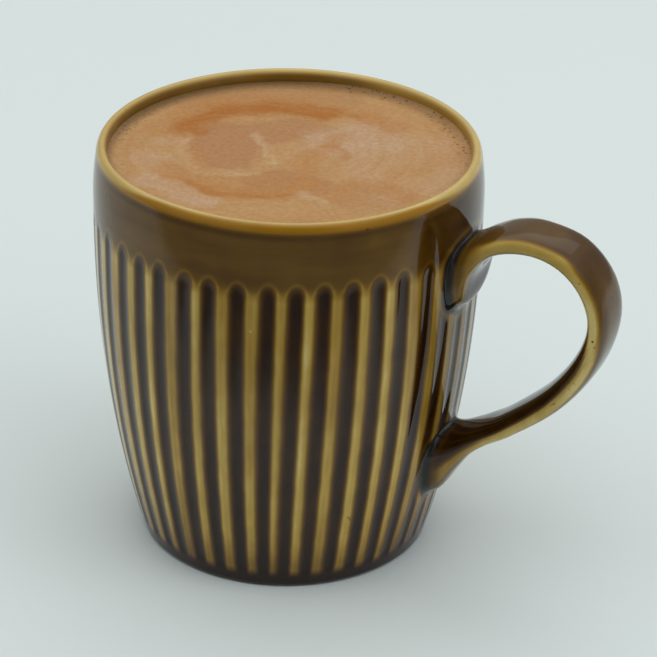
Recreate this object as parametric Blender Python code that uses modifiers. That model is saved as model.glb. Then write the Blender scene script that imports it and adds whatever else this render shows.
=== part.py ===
"""A fluted stoneware mug, filled with espresso to just under its rim.

Metres, +Z up. The origin is the centre of the mug's foot, and the handle points along +X.
The mug is one fired piece: a turned body with 43 carved flutes and a strap handle pressed
on at two joints. The espresso is a second solid that fills the cup up to its level.
"""
import math
import random

import bmesh
import bpy

# Mug body: one turned wall from the foot over the lip to the cup's floor
MUG_HEIGHT = 0.0894
BELLY_RADIUS = 0.0410          # widest, just above the flutes
BELLY_HEIGHT = 0.0787
FOOT_RADIUS = 0.0310
BELLY_FULLNESS = 2.3           # power of the side's curve between foot and belly
SHOULDER_TUCK = 0.00108        # how far the wall draws in from belly to rim
FOOT_CHAMFER = 0.0006
WALL = 0.0040
FLOOR = 0.0060
FLOOR_FILLET = 0.0050
LIP_BASE = 0.0874              # where the rounded lip starts
LIP_THICKNESS = 0.0032

# Flutes: scooped upright grooves, narrow ribs between them
FLUTES = 43
FLUTE_DEPTH = 0.0004
FLUTE_WIDTH = 0.645            # of one pitch, edge to edge
FLUTE_BED = 0.50               # of the groove's width that lies at full depth
FLUTE_TOP = 0.0763             # crown of the arch that ends each groove
FLUTE_ARCH = 0.0034            # height of that arch
FLUTE_FOOT = 0.0032            # ribs fade out below this
FLUTE_FADE = 0.0022
FLUTE_PHASE = math.radians(-63.0)
FLUTE_LEAN = math.radians(0.034) / 0.001   # turn of a groove for each metre up
HAND_WANDER = 0.35             # degrees, for the other grooves
HAND_WIDTH = 0.03
HAND_TOP = 0.0003
LEAN_MIDDLE = 0.050
# degrees that the grooves beside the handle are off their even places, near the top and near the foot
FLUTE_SHIFTS = {
    -7: (0.89, 0.79), -6: (0.72, 0.72), -5: (0.05, 0.05), -4: (0.68, 0.38), -3: (0.01, 0.41), -2: (0.23, 0.73),
    -1: (0.56, 0.66), 0: (0.09, -0.21), 1: (-0.48, -0.38), 2: (-0.45, 0.05), 3: (-0.73, 0.37), 4: (-1.10, 0.40),
}
SHIFT_FOOT = 0.012             # heights that the two shifts are given for
SHIFT_TOP = 0.068
BAND_START = 0.0785            # columns are evenly spread from here up, round the lip and inside
OUTSIDE_SLACK = 0.0001
ON_AXIS = 0.001

# Strap handle, in the plane y = 0
STRAP_THICKNESS = 0.0049
STRAP_HALF_WIDTH = 0.0065
STRAP_SQUARENESS = 3.0         # power of the oval section
BEND_CENTRE = (0.0564, 0.0644)
BEND_RADII = (0.0151, 0.0154)  # of the strap's middle, crown to outermost point
BEND_BULGE = ((90, 0.0), (60, 0.0003), (30, 0.0003), (0, 0.0))   # degrees round the bend, outer face's extra reach
STRAP_SIDES = 20

# Espresso
ESPRESSO_LEVEL = 0.0868
MENISCUS_RISE = 0.0002
MENISCUS_WIDTH = 0.0012
FIT_GAP = 0.0003
ESPRESSO_SIDES = 72

# Heights of the wall's rings inside the cup, shared by the mug and the espresso
CUP_RINGS = (0.0790, 0.0600, 0.0440, 0.0300, 0.0190)

GLAZE_BROWN = (0.085, 0.050, 0.018, 1.0)
CREMA_TAN = (0.500, 0.280, 0.135, 1.0)


def clear_scene():
    for old in list(bpy.data.objects):
        bpy.data.objects.remove(old, do_unlink=True)


def new_collection(name):
    collection = bpy.data.collections.new(name)
    bpy.context.scene.collection.children.link(collection)
    return collection


def new_material(name, colour, roughness):
    material = bpy.data.materials.new(name)
    material.use_nodes = True
    shader = material.node_tree.nodes["Principled BSDF"]
    shader.inputs["Base Color"].default_value = colour
    shader.inputs["Roughness"].default_value = roughness
    shader.inputs["Metallic"].default_value = 0.0
    return material


def new_object(name, mesh, collection, material=None):
    thing = bpy.data.objects.new(name, mesh)
    collection.objects.link(thing)
    if material:
        mesh.materials.append(material)
    return thing


def outer_radius(z):
    """Radius of the mug's outside, without flutes, up to the lip."""
    if z < BELLY_HEIGHT:
        return BELLY_RADIUS - (BELLY_RADIUS - FOOT_RADIUS) * (1 - z / BELLY_HEIGHT) ** BELLY_FULLNESS
    rise = (z - BELLY_HEIGHT) / (MUG_HEIGHT - BELLY_HEIGHT)
    return BELLY_RADIUS - SHOULDER_TUCK * rise ** 2


def cup_radius(z):
    """Radius of the cup's inside, below the lip."""
    lip_inside = outer_radius(LIP_BASE) - LIP_THICKNESS
    side = outer_radius(z) - WALL
    if z < BELLY_HEIGHT:
        return side
    blend = (z - BELLY_HEIGHT) / (LIP_BASE - BELLY_HEIGHT)
    return side + (lip_inside - (outer_radius(LIP_BASE) - WALL)) * blend


def smooth_step(x):
    x = min(max(x, 0.0), 1.0)
    return x * x * (3 - 2 * x)


def mug_profile():
    """Radius and height of each ring, from the foot's centre round to the floor's centre."""
    flute_end = FLUTE_FOOT + FLUTE_FADE
    arch_start = FLUTE_TOP - FLUTE_ARCH
    side = [FOOT_CHAMFER, FLUTE_FOOT, flute_end, 0.014, 0.026, 0.039, 0.052, 0.064, arch_start]
    side += [FLUTE_TOP - FLUTE_ARCH * left for left in (0.45, 0.15)]
    side += [FLUTE_TOP + HAND_TOP * 2, 0.0825]
    points = [(0.0, 0.0), (outer_radius(0) - FOOT_CHAMFER, 0.0)]
    points += [(outer_radius(z), z) for z in side]

    lip_middle = outer_radius(LIP_BASE) - LIP_THICKNESS / 2
    for degrees in (0, 45, 90, 135, 180):
        turn = math.radians(degrees)
        radius = lip_middle + LIP_THICKNESS / 2 * math.cos(turn)
        points.append((radius, LIP_BASE + (MUG_HEIGHT - LIP_BASE) * math.sin(turn)))

    points += [(cup_radius(z), z) for z in CUP_RINGS]
    points += [floor_corner(degrees, 0.0) for degrees in (0, 45, 90)]
    points.append((0.0, FLOOR))
    return points


def floor_corner(degrees, inset):
    """A point on the rounded corner between the cup's wall and floor, moved inwards by inset."""
    turn = math.radians(degrees)
    height = FLOOR + FLOOR_FILLET
    radius = cup_radius(height) - FLOOR_FILLET
    reach = FLOOR_FILLET - inset
    return (radius + reach * math.cos(turn), height - reach * math.sin(turn))


def flute_table():
    """Shifts near the top and the foot, width factor and top height of each flute, as a hand carves them."""
    hand = random.Random(43)
    table = []
    for flute in range(FLUTES):
        wander = hand.uniform(-1, 1) * HAND_WANDER
        near = flute if flute < FLUTES / 2 else flute - FLUTES
        shifts = FLUTE_SHIFTS.get(near, (wander, wander))
        width = 1 + hand.uniform(-1, 1) * HAND_WIDTH
        top = FLUTE_TOP + hand.uniform(-1, 1) * HAND_TOP
        table.append((math.radians(shifts[0]), math.radians(shifts[1]), width, top))
    return table


def carve_flutes(shape):
    """Moves the outside's columns onto the flutes' edges and beds, and presses the beds in."""
    table = flute_table()
    pitch = 2 * math.pi / FLUTES
    columns = 4 * FLUTES
    half_groove = FLUTE_WIDTH / 2
    carved = (-half_groove, -half_groove * FLUTE_BED, half_groove * FLUTE_BED, half_groove)
    even = (-0.375, -0.125, 0.125, 0.375)
    for vert in shape.verts:
        radius = math.hypot(vert.co.x, vert.co.y)
        z = vert.co.z
        if radius < ON_AXIS:
            continue
        column = round(math.atan2(vert.co.y, vert.co.x) / (2 * math.pi) * columns) % columns
        flute, place = divmod(column, 4)
        angle = FLUTE_PHASE + flute * pitch
        outside = radius > outer_radius(z) - OUTSIDE_SLACK
        if outside and z < BAND_START:
            shift_top, shift_foot, width, top = table[flute]
            arch = min(max((z - (top - FLUTE_ARCH)) / FLUTE_ARCH, 0.0), 1.0)
            narrowing = max(math.sqrt(1 - arch ** 2), FLUTE_BED)
            angle += shift_foot + (shift_top - shift_foot) * (z - SHIFT_FOOT) / (SHIFT_TOP - SHIFT_FOOT)
            angle += (z - LEAN_MIDDLE) * FLUTE_LEAN
            angle += carved[place] * pitch * width * narrowing
            if place in (1, 2):
                foot = smooth_step((z - FLUTE_FOOT) / FLUTE_FADE)
                radius -= FLUTE_DEPTH * foot * (1 - arch ** 2)
        else:
            angle += (BAND_START - LEAN_MIDDLE) * FLUTE_LEAN + even[place] * pitch
        vert.co.x = radius * math.cos(angle)
        vert.co.y = radius * math.sin(angle)


def turned_body(collection, material):
    shape = bmesh.new()
    ring = [shape.verts.new((radius, 0.0, z)) for radius, z in mug_profile()]
    chain = [shape.edges.new(pair) for pair in zip(ring, ring[1:])]
    bmesh.ops.spin(shape, geom=ring + chain, cent=(0, 0, 0), axis=(0, 0, 1),
                   angle=2 * math.pi, steps=4 * FLUTES, use_merge=True)
    bmesh.ops.remove_doubles(shape, verts=shape.verts, dist=1e-6)
    bmesh.ops.recalc_face_normals(shape, faces=shape.faces)
    carve_flutes(shape)
    mesh = bpy.data.meshes.new("mug")
    shape.to_mesh(mesh)
    shape.free()
    mesh.shade_smooth()
    return new_object("mug", mesh, collection, material)


def strap_stations():
    """Outer point, inner point, half width and taper of the strap's sections.

    The first and the last section are buried in the mug's wall. Taper narrows a
    section towards its outer point, which makes the tail below the lower joint.
    """
    half = STRAP_HALF_WIDTH
    stations = [
        ((0.0388, 0.0760), (0.0388, 0.0602), 0.0086, 0.0),
        ((0.0422, 0.0772), (0.0429, 0.0634), 0.0084, 0.0),
        ((0.0460, 0.0795), (0.0441, 0.0700), 0.0076, 0.0),
        ((0.0506, 0.0815), (0.0483, 0.0755), 0.0069, 0.0),
    ]
    for degrees, bulge in BEND_BULGE:
        turn = math.radians(degrees)
        rim = []
        for offset in (STRAP_THICKNESS / 2 + bulge, -STRAP_THICKNESS / 2):
            rim.append((BEND_CENTRE[0] + (BEND_RADII[0] + offset) * math.cos(turn),
                        BEND_CENTRE[1] + (BEND_RADII[1] + offset) * math.sin(turn)))
        stations.append((rim[0], rim[1], half, 0.0))
    stations += [
        ((0.0712, 0.0537), (0.0663, 0.0560), half, 0.0),
        ((0.0643, 0.0437), (0.0603, 0.0473), half, 0.0),
        ((0.0545, 0.0354), (0.0515, 0.0391), half, 0.0),
        ((0.0489, 0.0317), (0.0466, 0.0356), 0.0066, 0.04),
        ((0.0448, 0.0280), (0.0430, 0.0335), 0.0068, 0.08),
        ((0.0413, 0.0230), (0.0400, 0.0322), 0.0072, 0.14),
        ((0.0378, 0.0175), (0.0370, 0.0320), 0.0074, 0.22),
        ((0.0340, 0.0150), (0.0340, 0.0320), 0.0073, 0.22),
    ]
    return [(*outer, *inner, width, taper) for outer, inner, width, taper in stations]


def between(stations, steps):
    """The stations with smooth in-between ones, by Catmull-Rom interpolation."""
    padded = [stations[0]] + stations + [stations[-1]]
    result = []
    for before, start, end, after in zip(padded, padded[1:], padded[2:], padded[3:]):
        for step in range(steps):
            t = step / steps
            weights = (-t ** 3 + 2 * t ** 2 - t, 3 * t ** 3 - 5 * t ** 2 + 2,
                       -3 * t ** 3 + 4 * t ** 2 + t, t ** 3 - t ** 2)
            rows = zip(before, start, end, after)
            result.append([sum(w * v for w, v in zip(weights, row)) / 2 for row in rows])
    result.append(list(stations[-1]))
    return result


def oval(angle, power):
    """A point on a unit oval: how far across the strap, and how far through it."""
    across, through = math.cos(angle), math.sin(angle)
    return (math.copysign(abs(across) ** (2 / power), across),
            math.copysign(abs(through) ** (2 / power), through))


def strap_handle(collection):
    """The strap, lofted through its sections, with both ends closed."""
    shape = bmesh.new()
    rings = []
    for outer_x, outer_z, inner_x, inner_z, width, taper in between(strap_stations(), 3):
        ring = []
        for side in range(STRAP_SIDES):
            across, through = oval(2 * math.pi * side / STRAP_SIDES, STRAP_SQUARENESS)
            share = (1 + through) / 2
            ring.append(shape.verts.new((inner_x + (outer_x - inner_x) * share,
                                         across * width * (1 - taper * through),
                                         inner_z + (outer_z - inner_z) * share)))
        rings.append(ring)
    for ring, following in zip(rings, rings[1:]):
        for side in range(STRAP_SIDES):
            onward = (side + 1) % STRAP_SIDES
            shape.faces.new((ring[side], ring[onward], following[onward], following[side]))
    shape.faces.new(rings[0])
    shape.faces.new(rings[-1])
    bmesh.ops.recalc_face_normals(shape, faces=shape.faces)
    mesh = bpy.data.meshes.new("strap_form")
    shape.to_mesh(mesh)
    shape.free()
    strap = new_object("strap_form", mesh, collection)
    strap.hide_render = True
    strap.display_type = 'WIRE'
    return strap


def espresso_fill(collection, material):
    """The drink: a turned solid, a small gap inside the cup, with its edge drawn up the wall."""
    edge = cup_radius(ESPRESSO_LEVEL) - FIT_GAP
    profile = [(0.0, ESPRESSO_LEVEL), (edge - MENISCUS_WIDTH, ESPRESSO_LEVEL),
               (edge, ESPRESSO_LEVEL + MENISCUS_RISE)]
    profile += [(cup_radius(z) - FIT_GAP, z) for z in CUP_RINGS]
    profile += [floor_corner(degrees, FIT_GAP) for degrees in (0, 45, 90)]
    profile.append((0.0, FLOOR + FIT_GAP))
    mesh = bpy.data.meshes.new("espresso")
    mesh.from_pydata([(radius, 0.0, z) for radius, z in profile],
                     [(i, i + 1) for i in range(len(profile) - 1)], [])
    fill = new_object("espresso", mesh, collection, material)
    screw = fill.modifiers.new("turn", 'SCREW')
    screw.axis = 'Z'
    screw.angle = 2 * math.pi
    screw.steps = ESPRESSO_SIDES
    screw.render_steps = ESPRESSO_SIDES
    screw.use_merge_vertices = True
    screw.merge_threshold = 0.00001
    screw.use_smooth_shade = True
    return fill


def build():
    clear_scene()
    parts = new_collection("espresso_mug")
    cutters = new_collection("cutters")
    glaze = new_material("glazed_stoneware", GLAZE_BROWN, 0.15)
    crema = new_material("crema", CREMA_TAN, 0.45)

    mug = turned_body(parts, glaze)
    strap = strap_handle(cutters)
    union = mug.modifiers.new("handle", 'BOOLEAN')
    union.operation = 'UNION'
    union.solver = 'EXACT'
    union.object = strap
    espresso_fill(parts, crema)


build()
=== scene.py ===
import math
import random

import bmesh
import bpy
import numpy as np
from mathutils import Matrix, Vector, kdtree


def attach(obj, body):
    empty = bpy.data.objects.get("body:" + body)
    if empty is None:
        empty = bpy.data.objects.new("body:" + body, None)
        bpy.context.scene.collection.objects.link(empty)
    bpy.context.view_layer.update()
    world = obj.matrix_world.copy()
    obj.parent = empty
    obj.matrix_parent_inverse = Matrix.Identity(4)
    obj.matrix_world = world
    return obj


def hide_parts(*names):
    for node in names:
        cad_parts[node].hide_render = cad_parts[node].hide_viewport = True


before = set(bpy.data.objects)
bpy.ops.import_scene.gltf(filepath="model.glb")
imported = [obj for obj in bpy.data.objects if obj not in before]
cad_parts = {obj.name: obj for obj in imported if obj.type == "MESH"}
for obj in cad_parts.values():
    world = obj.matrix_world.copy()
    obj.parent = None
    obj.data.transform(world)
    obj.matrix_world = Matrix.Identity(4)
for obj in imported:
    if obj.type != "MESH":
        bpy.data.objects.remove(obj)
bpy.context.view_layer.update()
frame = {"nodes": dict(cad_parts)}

print("frame loaded:", ", ".join(frame["nodes"]))

# sizes are in metres and angles in degrees unless a note says otherwise, in the frame's own axes:
# the middle of the foot is the origin and the handle points along +X


def mixed(a, b, share):
    return a + (b - a) * share


def eased(value, start, end):
    # a soft step from 0 at start to 1 at end, which may also lie below start
    share = min(max((value - start) / (end - start), 0.0), 1.0)
    return share * share * (3 - 2 * share)


def easedField(shares):
    # the same for an array of shares
    shares = np.clip(shares, 0, 1)
    return shares * shares * (3 - 2 * shares)


def readTable(place, table):
    # straight lines between a table's (place, value) pairs
    return np.interp(place, *zip(*table))


def newObject(name, data):
    made = bpy.data.objects.new(name, data)
    bpy.context.scene.collection.objects.link(made)
    return made


def newSolid(name, shape, *materials):
    mesh = bpy.data.meshes.new(name)
    shape.to_mesh(mesh)
    shape.free()
    for material in materials:
        mesh.materials.append(material)
    return newObject(name, mesh)


def finishPiece(name, shape, material, body="root"):
    piece = newSolid(name, shape, material)
    piece.data.shade_smooth()
    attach(piece, body)
    return piece


def rolledForm(profile, columns, place):
    # a grid rolled round the Z axis: its rows follow the profile, its seam and poles are merged
    rows = len(profile) - 1
    shape = bmesh.new()
    bmesh.ops.create_grid(shape, x_segments=columns, y_segments=rows, size=0.5)
    for vert in shape.verts:
        row = round((vert.co.y + 0.5) * rows)
        radius, z = profile[row]
        radius, angle, z = place(round((vert.co.x + 0.5) * columns) % columns, radius, z, row)
        vert.co = (radius * math.cos(angle), radius * math.sin(angle), z)
    bmesh.ops.remove_doubles(shape, verts=shape.verts, dist=1e-7)
    bmesh.ops.recalc_face_normals(shape, faces=shape.faces)
    return shape


def newMaterial(name):
    made = bpy.data.materials.new(name)
    made.use_nodes = True
    tree = made.node_tree
    return made, tree, tree.nodes["Principled BSDF"]


def addNode(tree, kind, values=None, **settings):
    # values are numbers, colours or other nodes' outputs, by the name or the number of their socket
    made = tree.nodes.new("ShaderNode" + kind)
    for key, value in settings.items():
        setattr(made, key, value)
    for key, value in (values or {}).items():
        socket = made.inputs[key]
        if isinstance(value, bpy.types.NodeSocket):
            tree.links.new(value, socket)
        elif socket.type == 'RGBA' and len(value) == 3:
            socket.default_value = (*value, 1.0)
        else:
            socket.default_value = value
    return made


def blendColours(tree, share, under, over, mode="MIX"):
    values = {0: share, 6: under, 7: over}
    return addNode(tree, "Mix", values, data_type='RGBA', blend_type=mode).outputs[2]


def maths(tree, operation, *values):
    return addNode(tree, "Math", dict(enumerate(values)), operation=operation).outputs[0]


def rangeNode(tree, value, start, end, low=0.0, high=1.0, kind='SMOOTHSTEP'):
    values = {"Value": value, "From Min": start, "From Max": end, "To Min": low, "To Max": high}
    return addNode(tree, "MapRange", values, interpolation_type=kind).outputs["Result"]


def noiseNode(tree, vector, scale, detail, roughness=0.5, distortion=0.0):
    values = {"Vector": vector, "Scale": scale, "Detail": detail, "Roughness": roughness,
              "Distortion": distortion}
    return addNode(tree, "TexNoise", values).outputs["Fac"]


def vectorNode(tree, operation, first, second):
    return addNode(tree, "VectorMath", {0: first, 1: second}, operation=operation).outputs["Value"]


def attributeOf(tree, name, output="Fac"):
    return addNode(tree, "Attribute", attribute_name=name).outputs[output]


def greyOf(tree, level):
    return addNode(tree, "CombineColor", {"Red": level, "Green": level, "Blue": level}).outputs["Color"]


def addBump(tree, shader, height, strength, distance):
    bump = addNode(tree, "Bump", {"Height": height, "Strength": strength, "Distance": distance})
    tree.links.new(bump.outputs["Normal"], shader.inputs["Normal"])


def colourRamp(tree, factor, stops):
    made = addNode(tree, "ValToRGB", {"Fac": factor})
    elements = made.color_ramp.elements
    for index, (place, colour) in enumerate(stops):
        element = elements[index] if index < 2 else elements.new(place)
        element.position = place
        element.color = (*colour, 1.0)
    return made.outputs["Color"]


def newGroup(name, inputs):
    # a node group with one output, the mask of its effect
    tree = bpy.data.node_groups.new(name, "ShaderNodeTree")
    for label, kind in inputs:
        tree.interface.new_socket(label, in_out='INPUT', socket_type="NodeSocket" + kind)
    tree.interface.new_socket("Mask", in_out='OUTPUT', socket_type='NodeSocketFloat')
    return tree, tree.nodes.new("NodeGroupInput").outputs, tree.nodes.new("NodeGroupOutput").inputs["Mask"]


def makeSpotsGroup():
    # small round spots in a share of many cells, for pinholes in glaze and for bubbles in froth
    inputs = (("Vector", "Vector"), ("Scale", "Float"), ("Size", "Float"), ("Share", "Float"))
    tree, given, mask = newGroup("smallSpots", inputs)
    cells = addNode(tree, "TexVoronoi", {"Vector": given["Vector"], "Scale": given["Scale"]})
    spread = addNode(tree, "SeparateColor", {"Color": cells.outputs["Color"]}).outputs
    chosen = maths(tree, 'LESS_THAN', spread["Red"], given["Share"])
    size = maths(tree, 'MULTIPLY', given["Size"], maths(tree, 'ADD', spread["Green"], 0.35))
    spot = rangeNode(tree, cells.outputs["Distance"], maths(tree, 'MULTIPLY', size, 0.5), size, 1.0, 0.0)
    tree.links.new(maths(tree, 'MULTIPLY', spot, chosen), mask)
    return tree


def placeSpots(tree, group, vector, scale, size, share):
    values = {"Vector": vector, "Scale": scale, "Size": size, "Share": share}
    return addNode(tree, "Group", values, node_tree=group).outputs["Mask"]


def makeRoundMarkGroup():
    # one soft-edged round mark
    tree, given, mask = newGroup("roundMark", (("Vector", "Vector"), ("Centre", "Vector"), ("Size", "Float")))
    away = vectorNode(tree, 'DISTANCE', given["Vector"], given["Centre"])
    edge = maths(tree, 'MULTIPLY', given["Size"], 0.45)
    tree.links.new(rangeNode(tree, away, edge, given["Size"], 1.0, 0.0), mask)
    return tree


def placeMarks(tree, group, vector, marks):
    found = 0.0
    for centre, size, strength in marks:
        values = {"Vector": vector, "Centre": centre, "Size": size}
        mark = addNode(tree, "Group", values, node_tree=group).outputs["Mask"]
        found = maths(tree, 'MAXIMUM', found, maths(tree, 'MULTIPLY', mark, strength))
    return found


# the camera looks down at the mug from in front, turned a little towards the handle
cameraSettings = {
    "lens": 179.14,
    "distance": 0.700,
    "azimuth": 25.0,
    "elevation": 27.672,
    "roll": 1.164,
    "target": (0.00804, 0.00375, 0.045846),
}


def makeCamera(settings):
    turn, rise, roll = [math.radians(settings[name]) for name in ("azimuth", "elevation", "roll")]
    back = Vector((math.sin(turn) * math.cos(rise), -math.cos(turn) * math.cos(rise), math.sin(rise)))
    side = Vector((math.cos(turn), math.sin(turn), 0.0))
    up = back.cross(side)
    right = side * math.cos(roll) + up * math.sin(roll)
    top = up * math.cos(roll) - side * math.sin(roll)
    data = bpy.data.cameras.new("camera")
    data.sensor_width = 36.0
    data.lens = settings["lens"]
    data.clip_end = 20.0
    camera = newObject("camera", data)
    place = Vector(settings["target"]) + back * settings["distance"]
    camera.matrix_world = Matrix.Translation(place) @ Matrix((right, top, back)).transposed().to_4x4()
    bpy.context.scene.camera = camera
    return back


viewBack = makeCamera(cameraSettings)  # from the mug towards the camera
towardsCamera = Vector((viewBack.x, viewBack.y, 0.0))
print("camera placed")


# one pale sheet in a tent of cloth: dim at its foot, bright overhead, with an opening for the camera
studio = {
    "floorSize": 8.0,
    "floorColour": (0.785, 0.845, 0.838),
    "floorFront": 0.30,  # how much of that tone is left in front, towards the camera
    "fadeReach": (0.062, 0.125),  # how far in front of the mug it starts to fade and is down to that
    "floorRoughness": 0.9,
    "floorSpecular": 0.2,
    "tentTop": (0.80, 0.845, 0.845),
    "tentSkirt": (0.30, 0.315, 0.315),
    "skirtTop": (0.34, 0.86),  # sine of the elevation where the skirt ends and where the cloth is fully lit
    "backBias": 0.08,  # how much brighter the cloth behind the mug is
    "cameraGap": 0.18,  # brightness left in the opening round the camera
    "gapRise": 0.45,  # height of the opening's middle, for each metre away
    "gapEdge": (0.86, 0.91),  # cosine of the angle from that middle, outside and inside its soft edge
    "lights": (  # name, watts, width, depth, place, seen in the glaze
        ("overhead", 3.35, 1.6, 1.6, (-0.12, 0.02, 1.5), False),
        ("frontFill", 1.4, 1.2, 1.2, (0.60, -0.92, 0.98), False),
        ("sideFill", 2.9, 0.8, 0.8, (1.10, 0.05, 0.70), False),
        ("leftFill", 1.1, 0.8, 0.8, (-1.10, -0.55, 0.70), False),
        ("backLight", 2.4, 2.4, 0.90, (-0.46, 0.99, 1.40), True),
    ),
}


def makeFloor(settings):
    material, tree, shader = newMaterial("pale_sheet")
    place = addNode(tree, "TexCoord").outputs["Object"]
    fade = rangeNode(tree, vectorNode(tree, 'DOT_PRODUCT', place, towardsCamera), *settings["fadeReach"])
    front = tuple(part * settings["floorFront"] for part in settings["floorColour"])
    tree.links.new(blendColours(tree, fade, settings["floorColour"], front), shader.inputs["Base Color"])
    shader.inputs["Roughness"].default_value = settings["floorRoughness"]
    shader.inputs["Specular IOR Level"].default_value = settings["floorSpecular"]
    shape = bmesh.new()
    bmesh.ops.create_grid(shape, x_segments=1, y_segments=1, size=settings["floorSize"])
    floor = newSolid("floor", shape, material)


def makeTent(settings):
    world = bpy.data.worlds.new("tent")
    bpy.context.scene.world = world
    world.use_nodes = True
    tree = world.node_tree
    direction = addNode(tree, "TexCoord").outputs["Generated"]
    height = addNode(tree, "SeparateXYZ", {"Vector": direction}).outputs["Z"]
    rise = rangeNode(tree, height, *settings["skirtTop"])
    cloth = blendColours(tree, rise, settings["tentSkirt"], settings["tentTop"])
    level = towardsCamera.normalized()
    bias = vectorNode(tree, 'DOT_PRODUCT', direction, level)
    bias = maths(tree, 'MULTIPLY_ADD', bias, -settings["backBias"], 1.0)
    gapMiddle = (level + Vector((0, 0, settings["gapRise"]))).normalized()
    gap = vectorNode(tree, 'DOT_PRODUCT', direction, gapMiddle)
    gap = rangeNode(tree, gap, *settings["gapEdge"], 1.0, settings["cameraGap"])
    shade = greyOf(tree, maths(tree, 'MULTIPLY', gap, bias))
    tree.links.new(blendColours(tree, 1.0, cloth, shade, 'MULTIPLY'), tree.nodes["Background"].inputs["Color"])


def makeLights(settings):
    # every lamp faces the mug, with its width level
    for name, power, width, depth, where, seen in settings["lights"]:
        light = bpy.data.lights.new(name, 'AREA')
        light.shape = 'RECTANGLE'
        light.size = width
        light.size_y = depth
        light.energy = power
        lamp = newObject(name, light)
        back = Vector(where).normalized()
        side = Vector((-viewBack.y, viewBack.x, 0.0)).normalized()
        side = (side - back * side.dot(back)).normalized()
        turned = Matrix((side, back.cross(side), back)).transposed().to_4x4()
        lamp.matrix_world = Matrix.Translation(where) @ turned
        lamp.visible_glossy = seen


bpy.context.scene.view_settings.view_transform = 'Standard'
makeFloor(studio)
makeTent(studio)
makeLights(studio)
print("floor, tent and lights made")


# honey where the glaze thins over edges, brown on the faces, near black where it pools
glaze = {
    "honeyLip": (0.375, 0.172, 0.007),
    # the pale crest on the lip: thin glaze lightened by a painted highlight
    "paleHoneyHighlight": (0.64, 0.46, 0.155),
    # pooled glaze: near black, tinted with a painted bluish reflection of the cloth
    "poolAndSheen": (0.018, 0.021, 0.021),
    "clay": (0.50, 0.40, 0.28),
    "pit": (0.02, 0.010, 0.005),
    # a painted glint: a pale spot of light on a small pit
    "glint": (0.72, 0.50, 0.34),
    "roughness": 0.045,
    "ior": 1.43,
    "unevenness": 0.22,
    "ribStreaks": (420.0, 0.22),  # scale, and how far they are drawn out
    "bandStreaks": (330.0, 0.16),
    "bandFrom": (0.072, 0.077),
    "clouds": (90.0, 2.0),  # scale, detail
    "swell": (140.0, 1.0),
    "bump": (0.18, 0.0004),  # strength, distance
    "pinholes": (260.0, 0.085, 0.05),  # cells in a metre, size in cells, share of cells
    "stops": (  # glaze depth and the colour it gives
        # the thinnest glaze, its honey lightened by a painted sheen like that on the strap's rounded edges
        (0.00, (0.82, 0.64, 0.24)),
        (0.12, (0.60, 0.415, 0.090)),
        (0.24, (0.46, 0.280, 0.050)),
        (0.36, (0.32, 0.182, 0.024)),
        (0.50, (0.19, 0.098, 0.014)),
        (0.64, (0.122, 0.060, 0.009)),
        (0.78, (0.076, 0.031, 0.003)),
        (0.90, (0.039, 0.014, 0.001)),
        (1.00, (0.016, 0.005, 0.001)),
    ),
}

# burst bubbles and runs in the glaze, and a painted glint on a small pit: place, radius, strength
pits = (
    ((0.07166, -0.00645, 0.06296), 0.00034, 0.92), ((0.07213, -0.00645, 0.06161), 0.00040, 0.35),
    ((0.06809, -0.00645, 0.07523), 0.00030, 0.45), ((0.06422, -0.00645, 0.04678), 0.00036, 0.45),
    ((0.06386, -0.00645, 0.04650), 0.00034, 0.40), ((0.06343, -0.00645, 0.04615), 0.00030, 0.30),
    ((0.06824, -0.00645, 0.05246), 0.00030, 0.35), ((0.06732, -0.00645, 0.05090), 0.00026, 0.30),
    ((0.06723, -0.00645, 0.05244), 0.00034, 0.35), ((0.02642, -0.02387, 0.01852), 0.00046, 0.50),
    ((0.02656, -0.02350, 0.01788), 0.00046, 0.50), ((0.00092, -0.04000, 0.08775), 0.00045, 0.50),
    ((0.00139, -0.04000, 0.08772), 0.00040, 0.45), ((0.03025, -0.02658, 0.08751), 0.00045, 0.45),
)
paintedGlints = (((0.01091, -0.03935, 0.06591), 0.00032, 0.8),)

# painted on the mug's points below: glaze depth, honey lip, painted highlight on its crest, pooled glaze, bare
# foot
glazeLayers = ("glazeDepth", "lipHoney", "lipPaleHighlight", "glazePool", "bareClay")


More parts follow.
